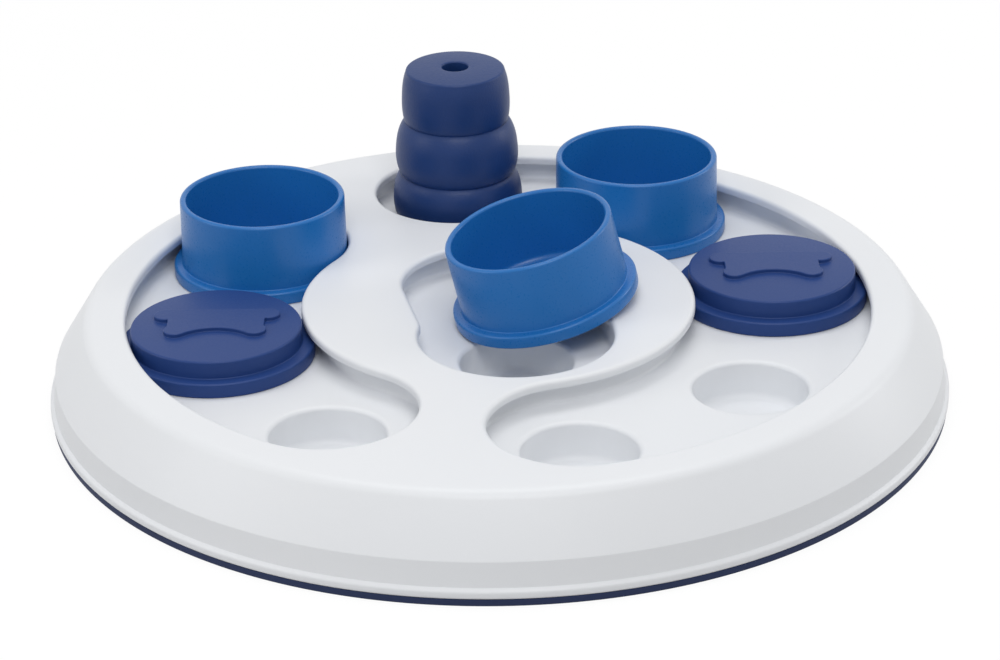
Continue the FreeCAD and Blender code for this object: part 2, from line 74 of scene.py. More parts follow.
# Rounds of the board's profile, and the flat strip kept inside the plate's crease
CREASE_ROUND = 5.0
CREASE_STRIP = 7.0
BAND_TOP_ROUND = 1.0
BAND_FOOT_ROUND = 0.35
LIP_ROUND = 1.1
LIP_FOOT_ROUND = 0.9
FOOT_INSIDE_ROUND = 0.3

# Rounds of the plate's openings, above and below
SLOT_ROUND = 1.4
SLOT_LOWER_ROUND = 0.4
SLOT_LOWER_STEPS = 3

# Plan of the tracks
TRACK_RADIUS = 94.5
SLOT_HALF = 29.0
TROUGH_HALF = 33.5
WELL_PITCH = 43.3333
BRIDGE_PITCH = 50.0
NECK_ANGLE = 270.0
LEFT_COUNT = 3
RIGHT_COUNT = 5
LEFT_WELLS = [NECK_ANGLE - BRIDGE_PITCH / 2 - WELL_PITCH * i for i in range(LEFT_COUNT)]
RIGHT_WELLS = [NECK_ANGLE + BRIDGE_PITCH / 2 + WELL_PITCH * i for i in range(RIGHT_COUNT)]
REAR_ANGLE = LEFT_WELLS[-1] - BRIDGE_PITCH / 2

# Plan of the keyhole
KEY_ANGLE = 292.0
KEY_LOBE_OFFSET = 27.6
KEY_LOBE_RADIUS = 32.0
KEY_REAR_OFFSET = 15.0
KEY_HALF = 28.9
KEY_POCKET = 32.4
KEY_BLEND = 12.0

# Tray: floor, raised parts and wells
FLOOR_HEIGHT = 22.0
FLOOR_THICKNESS = 2.2
UNDER_FLOOR = FLOOR_HEIGHT - FLOOR_THICKNESS
TRAY_GAP = 0.02
TRAY_TOP = UNDER_PLATE - TRAY_GAP
TRAY_RADIUS = 138.56
RAISED_RADIUS = TRACK_RADIUS + TROUGH_HALF + FLOOR_THICKNESS
HOLLOW_ROOF = UNDER_PLATE - FLOOR_THICKNESS
WELL_RADIUS = 18.6
WELL_DEPTH = 13.0
WELL_WALL = 2.0
WELL_MOUTH_ROUND = 1.5
WELL_FLOOR_ROUND = 2.5
WELL_CHAMFER = 0.8
TROUGH_FOOT_ROUND = 1.2

# Screws and the cover's bosses
RIM_SCREWS = 6
BOSS_RADIUS = 3.8
BOSS_SEAT = 4.4
BOSS_STEPS = 32
PILOT_RADIUS = 1.55
PILOT_TOP = 28.0
HOLE_RADIUS = 1.8
HOLE_STEPS = 24
RIM_BOSS = 134.6
ISLAND_BOSS = 68.0

# Foot ring: inset from the lip, and its grip inside the cover's foot
RING_INSET = 0.4
GRIP_GAP = 0.3
GRIP_WALL = 2.6
RING_STEP = 1.4
RING_SEAM = 0.1
RING_INNER_ROUND = 0.5
RING_OUTER_ROUND = 0.6
RING_TOP_ROUND = 0.2
GRIP_TOP_ROUND = 0.4
GRIP_FOOT_ROUND = 0.3

# Cups, with (radius, height) of the flange and (radius, depth) of the recess under the floor
CUP_FLANGE = (31.4, 4.5)
CUP_FOOT_RADIUS = 28.5
CUP_TOP_RADIUS = 28.25
CUP_HEIGHT = 27.6
CUP_WALL = 2.15
CUP_FLOOR = 2.4
CUP_INSIDE_TAPER = 0.4
CUP_RECESS = (24.0, 0.8)
CUP_RECESS_SLOPE = 0.6
CUP_FOOT_ROUND = 0.7
CUP_FLANGE_ROUND = 0.9
CUP_CORNER_ROUND = 0.4
CUP_LIP_ROUND = 0.95
CUP_INSIDE_ROUND = 2.4

# Places of the right cup and of the middle cup, which leans towards the left
CUP_RIGHT_ANGLE = 68.4
CUP_LEAN = 13.5
CUP_LEAN_SHIFT = 0.6
CUP_GAP = 0.3

# Slider discs, with (radius, height) of the flange
DISC_FLANGE = (32.2, 4.9)
DISC_RADIUS = 28.1
DISC_WALL = 2.2
DISC_DRAFT = 0.6
DISC_HEIGHT = 11.0
DISC_TOP = 1.6
DISC_TURN = 10.0
DISC_CEILING_ROUND = 0.5
DISC_INSIDE_ROUND = 0.3
DISC_FOOT_ROUND = 0.6
DISC_FLANGE_ROUND = 0.7
DISC_CORNER_ROUND = 0.4
DISC_TOP_ROUND = 0.8

# Bone on each disc: its knobs' radius, how far out the rear knobs, the front knobs and the notch
# between them lie, how far back it reaches, and where the crown of its waist lies
BONE_KNOB = 3.8
BONE_REAR = 17.0
BONE_FRONT = 13.0
BONE_NOTCH = 15.9
BONE_BACK = 9.7
BONE_CROWN = -4.75
BONE_HEIGHT = 1.4
BONE_EDGE_ROUND = 0.35
BONE_FOOT_ROUND = 0.3
BONE_FOOT_STEPS = 4
BONE_TOP_STRIP = 0.3
BONE_FRONT_STEPS = 24
BONE_REAR_STEPS = 28

# Treat dispenser
DISPENSER_GAP = 0.3
DISPENSER_HEIGHT = round(TOP_HEIGHT - FLOOR_HEIGHT - DISPENSER_GAP, 2)
DISPENSER_HOLE = 4.65
DISPENSER_RIM = 0.6
DISPENSER_WALL = 4.0
DISPENSER_CHAMFER = 0.6
DISPENSER_TOP = 17.5
DISPENSER_EDGE = 1.0
DISPENSER_EDGE_START = 5.0
DISPENSER_CROWN = 0.6
CROWN_STEPS = 12
DISPENSER_STEPS = 160

# Radius at each bulge's foot and at its middle, the height where it ends, and how full its halves are
BULGES = [(21.2, 22.9, 17.7), (20.3, 21.6, 37.1), (18.4, 19.0, DISPENSER_HEIGHT - DISPENSER_EDGE)]
BULGE_STEPS = 24
LOWER_FULLNESS = 2.4
UPPER_FULLNESS = 2.8
CREASE = 0.35

# Steps round a full turn, along a small fillet and along the shortest arc, and the longest chord
TURN_STEPS = 256
ROUND_STEPS = 6
FEWEST_STEPS = 6
CHORD = 1.6

# Flat strip beside a fillet, the share of a side that a fillet may take, and where edges turn sharp
GUARD = 0.8
FILLET_SHARE = 0.49
SHARP_ANGLE = 32.0

# Distances under which points count as one
SAME_POINT = 1e-4
WELD = 1e-3
ON_AXIS = 1e-6

# Sockets of a colour mix, and the kind of triangulation that keeps only what lies inside its outlines
MIX_FIRST, MIX_SECOND, MIX_RESULT = 6, 7, 2
INSIDE_ONLY = 1

# Stage: floor and sky. The fade is the share of plain white in what the camera sees of the floor.
STAGE_HALF = 6.0
STAGE_GREY = 0.6
STAGE_ROUGHNESS = 0.9
SHADOW_FADE = 0.86
WHITE_GLOW = 1.07
SKY_LEVEL = 0.37

# Each lamp's place, the point it faces, its width and height, and its power
LAMPS = {
    "key_top": ((-0.1, 0.3, 1.5), (0, 0, 0), (0.9, 0.7), 6.2),
    "front_high": ((0.25, -1.0, 1.4), (0, 0, 0), (0.9, 0.7), 10.2),
    "side_left": ((-1.2, -0.5, 0.7), (0, 0, 0.03), (0.5, 0.8), 3.3),
    "side_right": ((1.15, 0.65, 0.5), (0, 0, 0.04), (0.35, 0.6), 3.0),
}

# Camera, and where its axis meets the photo in pixels
CAMERA_AZIMUTH = 10.0
CAMERA_ELEVATION = 26.204
CAMERA_DISTANCE = 1.13835
CAMERA_ROLL = -1.028
CAMERA_LENS = 121.67
CAMERA_SENSOR = 36.0
CAMERA_NEAR = 0.05
PHOTO_WIDTH, PHOTO_HEIGHT = 1000.0, 660.0
CENTRE_X, CENTRE_Y = 499.68, 384.61


def polar(radius, angle):
    turned = math.radians(angle)
    return (radius * math.cos(turned), radius * math.sin(turned))


def arc_points(centre, radius, start, stop, steps):
    """Points along an arc, both ends included. The stop angle may lie under the start angle."""
    points = []
    for i in range(steps + 1):
        x, y = polar(radius, start + (stop - start) * i / steps)
        points.append((centre[0] + x, centre[1] + y))
    return points


def steps_for(radius, span):
    """Steps for an arc so that its chords stay near the same length."""
    return max(FEWEST_STEPS, int(abs(math.radians(span)) * radius / CHORD))


def chain(*parts):
    """Joins point lists into one closed loop without doubled points."""
    loop = []
    for part in parts:
        for point in part:
            if loop and math.dist(loop[-1], point) < SAME_POINT:
                continue
            loop.append(point)
    if math.dist(loop[0], loop[-1]) < SAME_POINT:
        loop.pop()
    return loop


def track_loop(half, wells):
    """Outline of a track from its first end well to its last, counter-clockwise."""
    low, high = min(wells), max(wells)
    outer, inner = TRACK_RADIUS + half, TRACK_RADIUS - half
    span = high - low
    end_steps = steps_for(half, 180)
    return chain(
        arc_points((0, 0), outer, low, high, steps_for(outer, span)),
        arc_points(polar(TRACK_RADIUS, high), half, high, high + 180, end_steps),
        arc_points((0, 0), inner, high, low, steps_for(inner, span)),
        arc_points(polar(TRACK_RADIUS, low), half, low + 180, low + 360, end_steps),
    )


def along_key(point):
    """A point given forwards and across the keyhole, turned to the keyhole's direction."""
    forward, across = point
    x, y = polar(1.0, KEY_ANGLE)
    return (forward * x - across * y, forward * y + across * x)


def key_loop(half, lobe, blend):
    """Outline of the keyhole, counter-clockwise: lobe in front, straight sides, round rear end."""
    side = half + blend
    reach = math.sqrt((lobe + blend) ** 2 - side ** 2)
    swing = math.degrees(math.atan2(reach, side))
    neck = KEY_LOBE_OFFSET - reach
    start, stop = -90 - swing, 90 + swing
    parts = [
        arc_points((KEY_LOBE_OFFSET, 0), lobe, start, stop, steps_for(lobe, stop - start)),
        arc_points((-KEY_REAR_OFFSET, 0), half, 90, 270, steps_for(half, 180)),
    ]
    if reach:
        blend_steps = steps_for(blend, swing)
        parts.insert(1, arc_points((neck, side), blend, swing - 90, -90, blend_steps))
        parts.append(arc_points((neck, -side), blend, 90, 90 - swing, blend_steps))
    return [along_key(point) for point in chain(*parts)]


def circle_loop(centre, radius, steps=None):
    count = steps or steps_for(radius, 360)
    return arc_points(centre, radius, 0, 360, count)[:-1]


def outward_normals(loop):
    """Unit normals that point out of a counter-clockwise loop."""
    normals = []
    count = len(loop)
    for i in range(count):
        before, after = loop[i - 1], loop[(i + 1) % count]
        dx, dy = after[0] - before[0], after[1] - before[1]
        length = math.hypot(dx, dy)
        normals.append((dy / length, -dx / length))
    return normals


class Shell:
    """A mesh put together from rings of points, in millimetres."""

    def __init__(self):
        self.mesh = bmesh.new()

    def ring(self, loop, height, grow=0.0):
        """A ring of vertices along a loop, moved outwards by grow, at one height."""
        normals = outward_normals(loop)
        return [self.mesh.verts.new((p[0] + n[0] * grow, p[1] + n[1] * grow, height))
                for p, n in zip(loop, normals)]

    def arc(self, loop, grow, height, radius, start, stop, steps=ROUND_STEPS):
        """Rings along an arc of the section, about a centre given by its growth and height."""
        rings = []
        for i in range(steps + 1):
            out, up = polar(radius, start + (stop - start) * i / steps)
            rings.append(self.ring(loop, height + up, grow + out))
        return rings

    def bridge(self, lower, upper):
        """Faces between two rings of the same count."""
        count = len(lower)
        for i in range(count):
            j = (i + 1) % count
            self.mesh.faces.new((lower[i], lower[j], upper[j], upper[i]))

    def stack(self, rings):
        for lower, upper in zip(rings, rings[1:]):
            self.bridge(lower, upper)

    def fill(self, outer, holes=()):
        """Flat faces between an outer ring and the rings of its holes."""
        edges = []
        for ring in [outer] + list(holes):
            for i, vertex in enumerate(ring):
                ends = (vertex, ring[(i + 1) % len(ring)])
                edges.append(self.mesh.edges.get(ends) or self.mesh.edges.new(ends))
        bmesh.ops.triangle_fill(self.mesh, edges=edges, use_beauty=True, use_dissolve=False, normal=(0, 0, 1))

    def finish(self, name, body, material, replaced=()):
        """Turns the rings into an object that rides on a body."""
        bmesh.ops.remove_doubles(self.mesh, verts=self.mesh.verts, dist=WELD)
        bmesh.ops.recalc_face_normals(self.mesh, faces=self.mesh.faces)
        bmesh.ops.scale(self.mesh, vec=(MM, MM, MM), verts=self.mesh.verts)
        return place_mesh(self.mesh, name, body, material, replaced)


def place_mesh(mesh, name, body, material, replaced):
    data = bpy.data.meshes.new(name)
    mesh.to_mesh(data)
    mesh.free()
    piece = bpy.data.objects.new(name, data)
    bpy.context.scene.collection.objects.link(piece)
    data.materials.append(material)
    shade(data)
    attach(piece, body)
    if replaced:
        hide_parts(*replaced)
    return piece


def shade(data):
    """Smooth shading with sharp edges kept where faces meet at a wide angle."""
    for face in data.polygons:
        face.use_smooth = True
    mesh = bmesh.new()
    mesh.from_mesh(data)
    limit = math.radians(SHARP_ANGLE)
    for edge in mesh.edges:
        if len(edge.link_faces) == 2:
            edge.smooth = edge.calc_face_angle(0.0) < limit
    mesh.to_mesh(data)
    mesh.free()


def rounded(profile):
    """Corners (radius, height, fillet) of a section turned into points with arcs at the fillets."""
    points = []
    last_corner = len(profile) - 1
    for i, (radius, height, fillet) in enumerate(profile):
        if fillet <= 0 or i in (0, last_corner):
            points.append((radius, height))
            continue
        here = Vector((radius, height))
        back = Vector(profile[i - 1][:2]) - here
        on = Vector(profile[i + 1][:2]) - here
        turn = back.angle(on)
        cut = fillet / math.tan(turn / 2)
        cut = min(cut, back.length * FILLET_SHARE, on.length * FILLET_SHARE)
        size = cut * math.tan(turn / 2)
        start, stop = here + back.normalized() * cut, here + on.normalized() * cut
        middle = here + (back.normalized() + on.normalized()).normalized() * (size / math.sin(turn / 2))
        first, last = start - middle, stop - middle
        swing = first.angle(last)
        side = 1.0 if first.x * last.y - first.y * last.x > 0 else -1.0
        for k in range(ROUND_STEPS + 1):
            spun = Matrix.Rotation(side * swing * k / ROUND_STEPS, 2) @ first
            points.append((middle.x + spun.x, middle.y + spun.y))
    return points


def lathe(profile, name, body, material, replaced, place=None, steps=TURN_STEPS):
    """A body of revolution about its own Z axis from points (radius, height), moved by a matrix.

    A profile that starts off the axis is closed from its last point to its first.
    """
    mesh = bmesh.new()
    rings = []
    for radius, height in profile:
        if radius < ON_AXIS:
            rings.append([mesh.verts.new((0, 0, height * MM))])
            continue
        rings.append([mesh.verts.new((radius * MM * math.cos(2 * math.pi * k / steps),
                                      radius * MM * math.sin(2 * math.pi * k / steps), height * MM))
                      for k in range(steps)])
    pairs = list(zip(rings, rings[1:]))
    if len(rings[0]) > 1:
        pairs.append((rings[-1], rings[0]))
    for one, two in pairs:
        for k in range(steps):
            j = (k + 1) % steps
            if len(one) == 1:
                mesh.faces.new((one[0], two[j], two[k]))
            elif len(two) == 1:
                mesh.faces.new((one[k], one[j], two[0]))
            else:
                mesh.faces.new((one[k], one[j], two[j], two[k]))
    bmesh.ops.recalc_face_normals(mesh, faces=mesh.faces)
    if place is not None:
        bmesh.ops.transform(mesh, matrix=place, verts=mesh.verts)
    return place_mesh(mesh, name, body, material, replaced)


# Materials

class Surface:
    """A material being made, with short ways to add and join its shader nodes."""

    def __init__(self, name):
        self.material = bpy.data.materials.new(name)
        self.material.use_nodes = True
        self.tree = self.material.node_tree
        self.shader = self.tree.nodes["Principled BSDF"]
        self.place = self.add("ShaderNodeTexCoord")

    def add(self, kind, **values):
        """A node with its settings and inputs given by name, with _ for a space."""
        node = self.tree.nodes.new(kind)
        for key, value in values.items():
            if hasattr(node, key):
                setattr(node, key, value)
            else:
                node.inputs[key.replace("_", " ")].default_value = value
        return node

    def join(self, out_node, out_name, in_node, in_name):
        self.tree.links.new(out_node.outputs[out_name], in_node.inputs[in_name])

    def pattern(self, kind, **values):
        """A texture laid on the object's own coordinates."""
        texture = self.add(kind, **values)
        self.join(self.place, "Object", texture, "Vector")
        return texture

    def remap(self, noise, low, high, from_low=0.0, from_high=1.0):
        """A noise's value carried from one range to another."""
        level = self.add("ShaderNodeMapRange", From_Min=from_low, From_Max=from_high, To_Min=low, To_Max=high)
        self.join(noise, "Fac", level, "Value")
        return level

    def tint(self, first, second, source, output):
        """The base colour, mixed from two colours by a value."""
        mix = self.add("ShaderNodeMix", data_type="RGBA")
        mix.inputs[MIX_FIRST].default_value = (*first, 1)
        mix.inputs[MIX_SECOND].default_value = (*second, 1)
        self.join(source, output, mix, "Factor")
        self.tree.links.new(mix.outputs[MIX_RESULT], self.shader.inputs["Base Color"])


def plastic(name, colour, shade_colour, roughness, grain_scale, grain_height, gloss, mottling, scratch=0.0):
    """Moulded plastic: slow colour drift, fine grain in the bump, uneven gloss and faint flow lines."""
    surface = Surface(name)
    surface.shader.inputs["Specular IOR Level"].default_value = gloss
    drift = surface.pattern("ShaderNodeTexNoise", Scale=14.0, Detail=3.0, Roughness=0.55)
    level = surface.remap(drift, 0.0, mottling, from_low=0.35, from_high=0.75)
    surface.tint(colour, shade_colour, level, "Result")
    grain = surface.pattern("ShaderNodeTexNoise", Scale=grain_scale, Detail=4.0, Roughness=0.6)
    rough = surface.remap(grain, roughness - 0.05, roughness + 0.06, from_low=0.3, from_high=0.7)
    surface.join(rough, "Result", surface.shader, "Roughness")
    bump = surface.add("ShaderNodeBump", Strength=0.35, Distance=grain_height * MM)
    surface.join(grain, "Fac", bump, "Height")
    if scratch > 0:
        flow = surface.pattern("ShaderNodeTexWave", Scale=30.0, Distortion=7.0, Detail=2.0)
        fine = surface.add("ShaderNodeBump", Strength=scratch, Distance=0.02 * MM)
        surface.join(flow, "Fac", fine, "Height")
        surface.join(bump, "Normal", fine, "Normal")
        bump = fine
    surface.join(bump, "Normal", surface.shader, "Normal")
    return surface.material


def rubber(name, colour, dark):
    """The dispenser's rubber: satin, with a fine leathery grain that shows where light grazes it."""
    surface = Surface(name)
    surface.shader.inputs["Specular IOR Level"].default_value = 0.3
    cells = surface.pattern("ShaderNodeTexVoronoi", Scale=1500.0, feature="SMOOTH_F1")
    wrinkle = surface.pattern("ShaderNodeTexNoise", Scale=700.0, Detail=4.0, Roughness=0.6)
    mixed = surface.add("ShaderNodeMath", operation="MULTIPLY")
    surface.join(cells, "Distance", mixed, 0)
    surface.join(wrinkle, "Fac", mixed, 1)
    cloud = surface.pattern("ShaderNodeTexNoise", Scale=45.0, Detail=2.0)
    surface.tint(dark, colour, cloud, "Fac")
    surface.join(surface.remap(wrinkle, 0.36, 0.50), "Result", surface.shader, "Roughness")
    bump = surface.add("ShaderNodeBump", Strength=0.6, Distance=0.12 * MM)
    surface.join(mixed, 0, bump, "Height")
    surface.join(bump, "Normal", surface.shader, "Normal")
    return surface.material


def steel(name):
    """Zinc-plated steel with a brushed gloss."""
    surface = Surface(name)
    surface.shader.inputs["Metallic"].default_value = 1.0
    brushed = surface.pattern("ShaderNodeTexNoise", Scale=600.0, Detail=2.0)
    surface.tint((0.45, 0.45, 0.47), (0.62, 0.62, 0.64), brushed, "Fac")
    surface.join(surface.remap(brushed, 0.28, 0.42), "Result", surface.shader, "Roughness")
    return surface.material


PALE, PALE_SHADE = (0.80, 0.815, 0.84), (0.775, 0.795, 0.825)
WHITE = plastic("white_moulded", PALE, PALE_SHADE, roughness=0.40,
                grain_scale=1500.0, grain_height=0.05, gloss=0.4, mottling=0.5)
TRAY_WHITE = plastic("white_tray", PALE, PALE_SHADE, roughness=0.42,
                     grain_scale=1500.0, grain_height=0.05, gloss=0.35, mottling=0.5)
NAVY = plastic("navy_moulded", (0.016, 0.049, 0.195), (0.013, 0.044, 0.175), roughness=0.42,
               grain_scale=1300.0, grain_height=0.04, gloss=0.25, mottling=0.7, scratch=0.04)
BLUE = plastic("blue_moulded", (0.013, 0.152, 0.46), (0.011, 0.140, 0.42), roughness=0.30,
               grain_scale=1300.0, grain_height=0.04, gloss=0.35, mottling=0.7, scratch=0.04)
SOFT_NAVY = plastic("soft_ring_navy", (0.018, 0.030, 0.085), (0.014, 0.024, 0.07), roughness=0.6,
                    grain_scale=900.0, grain_height=0.1, gloss=0.25, mottling=0.8)
RUBBER = rubber("dispenser_rubber", (0.010, 0.040, 0.16), (0.008, 0.033, 0.135))
STEEL = steel("zinc_screw")


# Board

def outer_profile():
    """The cover's section from the plate's flat part out and down to the foot, then up inside."""
    slope = (BAND_TOP[0] - PLATE_RADIUS) / (PLATE_HEIGHT - BAND_TOP[1])
    flat = PLATE_RADIUS - CREASE_STRIP
    return rounded([
        (flat, PLATE_HEIGHT, 0),
        (PLATE_RADIUS, PLATE_HEIGHT, CREASE_ROUND),
        (BAND_TOP[0], BAND_TOP[1], BAND_TOP_ROUND),
        (BAND_FOOT[0], BAND_FOOT[1], BAND_FOOT_ROUND),
        (BOARD_RADIUS, LIP_HEIGHT, LIP_ROUND),
        (BOARD_RADIUS, FOOT_HEIGHT, LIP_FOOT_ROUND),
        (BAND_FOOT[0] - COVER_WALL, FOOT_HEIGHT, FOOT_INSIDE_ROUND),
        (BAND_FOOT[0] - COVER_WALL, BAND_FOOT[1], 0),
        (BAND_TOP[0] - COVER_WALL, BAND_TOP[1], 0),
        (PLATE_RADIUS - COVER_WALL + PLATE_THICKNESS * slope, UNDER_PLATE, 0),
        (flat, UNDER_PLATE, 0),
    ])


def slot_edge(shell, loop):
    """The rounded edge of one opening in the plate. Gives its top ring and its bottom ring."""
    rings = [shell.ring(loop, PLATE_HEIGHT, SLOT_ROUND + GUARD)]
    rings += shell.arc(loop, SLOT_ROUND, PLATE_HEIGHT - SLOT_ROUND, SLOT_ROUND, 90, 180)
    rings += shell.arc(loop, SLOT_LOWER_ROUND, UNDER_PLATE + SLOT_LOWER_ROUND, SLOT_LOWER_ROUND,
                       180, 270, SLOT_LOWER_STEPS)
    rings.append(shell.ring(loop, UNDER_PLATE, SLOT_LOWER_ROUND + GUARD))
    shell.stack(rings)
    return rings[0], rings[-1]


def make_cover():
    """The cover's shell, with the two curved slots and the keyhole in its plate."""
    shell = Shell()
    rings = [shell.ring(circle_loop((0, 0), radius, TURN_STEPS), height)
             for radius, height in outer_profile()]
    shell.stack(rings)
    openings = [
        track_loop(SLOT_HALF, LEFT_WELLS),
        track_loop(SLOT_HALF, RIGHT_WELLS),
        key_loop(KEY_HALF, KEY_LOBE_RADIUS, KEY_BLEND),
    ]
    edges = [slot_edge(shell, loop) for loop in openings]
    shell.fill(rings[0], [top for top, _ in edges])
    shell.fill(rings[-1], [bottom for _, bottom in edges])
    shell.finish("cover_shell", "board", WHITE, ("top_cover",))


def rim_places():
    return [polar(RIM_BOSS, NECK_ANGLE + 360 / RIM_SCREWS * i) for i in range(RIM_SCREWS)]


def island_places():
    return [polar(ISLAND_BOSS, NECK_ANGLE), polar(ISLAND_BOSS, REAR_ANGLE)]


def make_bosses():
    """The cover's screw bosses, each with its pilot hole, under the plate."""
    shell = Shell()
    for centre in rim_places() + island_places():
        post = circle_loop(centre, BOSS_RADIUS, BOSS_STEPS)
        pilot = circle_loop(centre, PILOT_RADIUS, BOSS_STEPS)
        rings = [shell.ring(pilot, PILOT_TOP), shell.ring(pilot, FLOOR_HEIGHT),
                 shell.ring(post, FLOOR_HEIGHT), shell.ring(post, UNDER_PLATE)]
        shell.stack(rings)
        shell.fill(rings[0])
        shell.fill(rings[-1])
    shell.finish("cover_bosses", "board", WHITE)


def troughs(spread=0.0):
    """Outlines of the tray's two tracks and its keyhole pocket, moved outwards, and the wells in each."""
    half, pocket = TROUGH_HALF + spread, KEY_POCKET + spread
    return [
        (track_loop(half, LEFT_WELLS), [polar(TRACK_RADIUS, angle) for angle in LEFT_WELLS]),
        (track_loop(half, RIGHT_WELLS), [polar(TRACK_RADIUS, angle) for angle in RIGHT_WELLS]),
        (key_loop(pocket, pocket, 0.0), [polar(KEY_LOBE_OFFSET, KEY_ANGLE)]),
    ]


def well(shell, centre):
    """One well: soft mouth, wall, floor, and its shell under the tray. Gives the ring round its mouth."""
    loop = circle_loop(centre, WELL_RADIUS)
    bottom = FLOOR_HEIGHT - WELL_DEPTH
    rings = [shell.ring(loop, FLOOR_HEIGHT, WELL_MOUTH_ROUND + GUARD)]
    rings += shell.arc(loop, WELL_MOUTH_ROUND, FLOOR_HEIGHT - WELL_MOUTH_ROUND, WELL_MOUTH_ROUND, 90, 180)
    rings += shell.arc(loop, -WELL_FLOOR_ROUND, bottom + WELL_FLOOR_ROUND, WELL_FLOOR_ROUND, 0, -90)
    rings.append(shell.ring(loop, bottom, -WELL_FLOOR_ROUND - GUARD))
    shell.stack(rings)
    shell.fill(rings[-1])
    outside = circle_loop(centre, WELL_RADIUS + WELL_WALL)
    rings_below = [shell.ring(outside, UNDER_FLOOR),
                   shell.ring(outside, bottom - WELL_WALL + WELL_CHAMFER),
                   shell.ring(outside, bottom - WELL_WALL, -WELL_CHAMFER)]
    shell.stack(rings_below)
    shell.fill(rings_below[-1])
    return rings[0]


def screw_hole(shell, centre):
    """A screw hole through the tray's floor. Gives its top ring."""
    loop = circle_loop(centre, HOLE_RADIUS, HOLE_STEPS)
    top = shell.ring(loop, FLOOR_HEIGHT)
    shell.bridge(shell.ring(loop, UNDER_FLOOR), top)
    return top


def trough(shell, loop, centres):
    """One sunk trough with its wells. Gives the ring at its top."""
    guard = shell.ring(loop, FLOOR_HEIGHT, -TROUGH_FOOT_ROUND - GUARD)
    foot = shell.arc(loop, -TROUGH_FOOT_ROUND, FLOOR_HEIGHT + TROUGH_FOOT_ROUND, TROUGH_FOOT_ROUND, 270, 360)
    rim = shell.ring(loop, TRAY_TOP)
    shell.stack([guard] + foot + [rim])
    shell.fill(guard, [well(shell, centre) for centre in centres])
    return rim


def boss_seat(shell, centre):
    """The sunk seat of a boss inside a raised part, with its screw hole. Gives the ring at its top."""
    loop = circle_loop(centre, BOSS_SEAT)
    seat_floor, rim = shell.ring(loop, FLOOR_HEIGHT), shell.ring(loop, TRAY_TOP)
    shell.bridge(seat_floor, rim)
    shell.fill(seat_floor, [screw_hole(shell, centre)])
    return rim


def make_tray():
    """The tray: three sunk troughs with nine wells between hollow raised parts, and a ledge round them."""
    shell = Shell()
    rims = [trough(shell, loop, centres) for loop, centres in troughs()]
    rims += [boss_seat(shell, centre) for centre in island_places()]
    raised = circle_loop((0, 0), RAISED_RADIUS, TURN_STEPS)
    edge = circle_loop((0, 0), TRAY_RADIUS, TURN_STEPS)
    wall_foot, wall_top = shell.ring(raised, FLOOR_HEIGHT), shell.ring(raised, TRAY_TOP)
    ledge = shell.ring(edge, FLOOR_HEIGHT)
    shell.bridge(wall_foot, wall_top)
    shell.fill(wall_top, rims)
    shell.fill(ledge, [wall_foot] + [screw_hole(shell, centre) for centre in rim_places()])
    shell.bridge(shell.ring(edge, UNDER_FLOOR), ledge)
    tray_underside(shell, edge)
    shell.finish("tray_shell", "board", TRAY_WHITE, ("floor_tray",))


def tray_underside(shell, edge):
    """The tray from below: a flat floor without its wells and screw holes, and the hollow raised parts.

    Outlines are numbered in the order edge, core of the raised parts, what stands solid in the core,
    and what is left out. The highest number round a triangle says what the triangle is.
    """
    core = circle_loop((0, 0), RAISED_RADIUS - FLOOR_THICKNESS, TURN_STEPS)
    kept = [loop for loop, _ in troughs(FLOOR_THICKNESS)]
    kept += [circle_loop(centre, BOSS_SEAT + FLOOR_THICKNESS) for centre in island_places()]
    gone = [circle_loop(centre, WELL_RADIUS + WELL_WALL) for _, group in troughs() for centre in group]
    gone += [circle_loop(centre, HOLE_RADIUS, HOLE_STEPS) for centre in rim_places() + island_places()]
    loops = [edge, core] + kept + gone
    core_number, first_gone = 1, len(loops) - len(gone)
    points, outlines = [], []
    for loop in loops:
        outlines.append(list(range(len(points), len(points) + len(loop))))
        points += [Vector(point) for point in loop]
    places, _, triangles, _, _, owners = delaunay_2d_cdt(points, [], outlines, INSIDE_ONLY, SAME_POINT)
    low = [shell.mesh.verts.new((place.x, place.y, UNDER_FLOOR)) for place in places]
    high = [shell.mesh.verts.new((place.x, place.y, HOLLOW_ROOF)) for place in places]
    sides = {}
    for triangle, inside in zip(triangles, owners):
        number = max(inside)
        if number >= first_gone:
            continue
        hollow = number == core_number
        level = high if hollow else low
        shell.mesh.faces.new([level[i] for i in triangle])
        for i, here in enumerate(triangle):
            there = triangle[(i + 1) % len(triangle)]
            sides.setdefault((min(here, there), max(here, there)), []).append(hollow)
    for (here, there), both in sides.items():
        if len(both) == 2 and both[0] != both[1]:
            shell.mesh.faces.new((low[here], low[there], high[there], high[here]))
    bmesh.ops.delete(shell.mesh, geom=[v for v in low + high if not v.link_faces], context="VERTS")


def make_ring():
    """The soft foot ring: a flat foot, and a grip that stands up inside the cover's foot."""
    outer = BOARD_RADIUS - RING_INSET
    grip = BAND_FOOT[0] - COVER_WALL - GRIP_GAP
    grip_inside = grip - GRIP_WALL
    inner = grip_inside - RING_STEP
    profile = rounded([
        (inner, FOOT_HEIGHT / 2, 0),
        (inner, 0, RING_INNER_ROUND),
        (outer, 0, RING_OUTER_ROUND),
        (outer, FOOT_HEIGHT, RING_TOP_ROUND),
        (grip, FOOT_HEIGHT, 0),
        (grip, BAND_FOOT[1], GRIP_TOP_ROUND),
        (grip_inside, BAND_FOOT[1], GRIP_TOP_ROUND),
        (grip_inside, FOOT_HEIGHT, GRIP_FOOT_ROUND),
        (inner, FOOT_HEIGHT, GRIP_FOOT_ROUND),
        (inner, FOOT_HEIGHT / 2 + RING_SEAM, 0),
    ])
    lathe(profile, "foot_ring", "board", SOFT_NAVY, ("antislip_ring",))


# Cups

